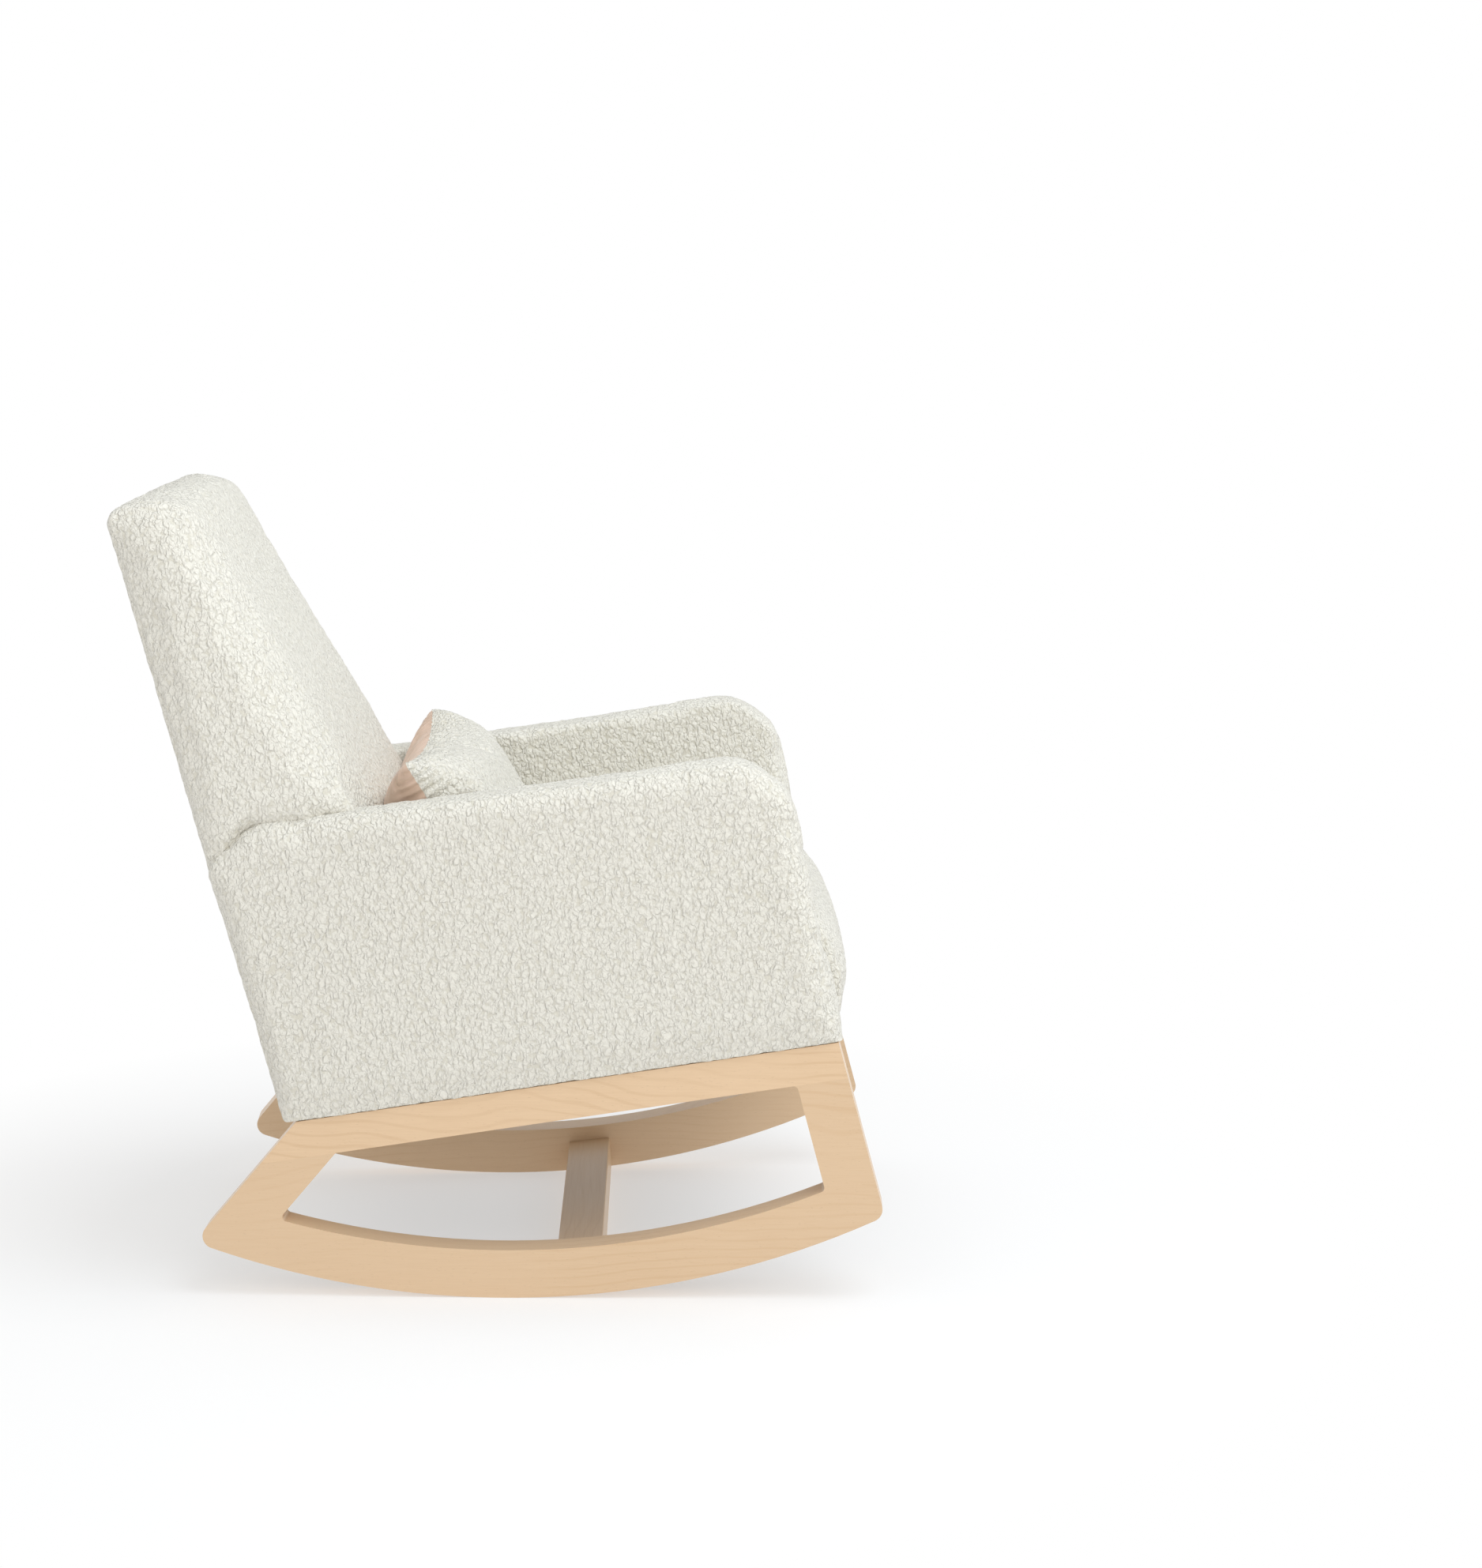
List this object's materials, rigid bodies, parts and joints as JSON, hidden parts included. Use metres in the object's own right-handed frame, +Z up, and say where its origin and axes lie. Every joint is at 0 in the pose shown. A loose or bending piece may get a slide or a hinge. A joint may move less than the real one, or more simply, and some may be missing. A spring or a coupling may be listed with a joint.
{
  "type": "nursery rocking chair",
  "caption": "Upholstered rocking chair with padded arms, tall wedge back and waterfall seat on two splayed wooden side frames with curved runners, and a loose lumbar pillow.",
  "frame": {"origin": "on the floor, on the centre line, where the two runners touch down at rest", "axes": "+Z up, the chair faces -Y, +X to the sitter's left"},
  "size_m": [0.6004, 0.9281, 0.9913],
  "materials": {
    "maple": "satin",
    "hardwood": "matte",
    "sherpa": "matte",
    "velvet": "satin",
    "webbing": "matte",
    "lining": "matte",
    "zinc_steel": "satin"
  },
  "bodies": {
    "chair": {"arm_board_left": "hardwood", "arm_board_right": "hardwood", "arm_pad_left": "sherpa", "arm_pad_right": "sherpa", "back_board_left": "hardwood", "back_board_right": "hardwood", "back_cushion": "sherpa", "back_head_rail": "hardwood", "back_lumbar_rail": "hardwood", "back_panel": "sherpa", "back_post_left": "maple", "back_post_right": "maple", "back_webbing": "webbing", "base_stretcher": "maple", "bolt_washers": "zinc_steel", "corner_blocks": "hardwood", "dust_cover": "lining", "frame_bolts": "zinc_steel", "frame_dowels": "hardwood", "front_post_left": "maple", "front_post_right": "maple", "runner_left": "maple", "runner_right": "maple", "seat_back_rail": "hardwood", "seat_cushion": "sherpa", "seat_front_rail": "hardwood", "seat_webbing": "webbing", "side_rail_left": "hardwood", "side_rail_right": "hardwood", "stretcher_dowels": "hardwood", "top_rail_left": "maple", "top_rail_right": "maple"},
    "pillow": {"pillow_front": "sherpa", "pillow_back": "velvet"}
  },
  "joints": [
    {"name": "pillow_lift", "type": "slide", "parent": "chair", "child": "pillow", "axis": [0, 0, 1], "range_m": [0, 0.25]}
  ]
}
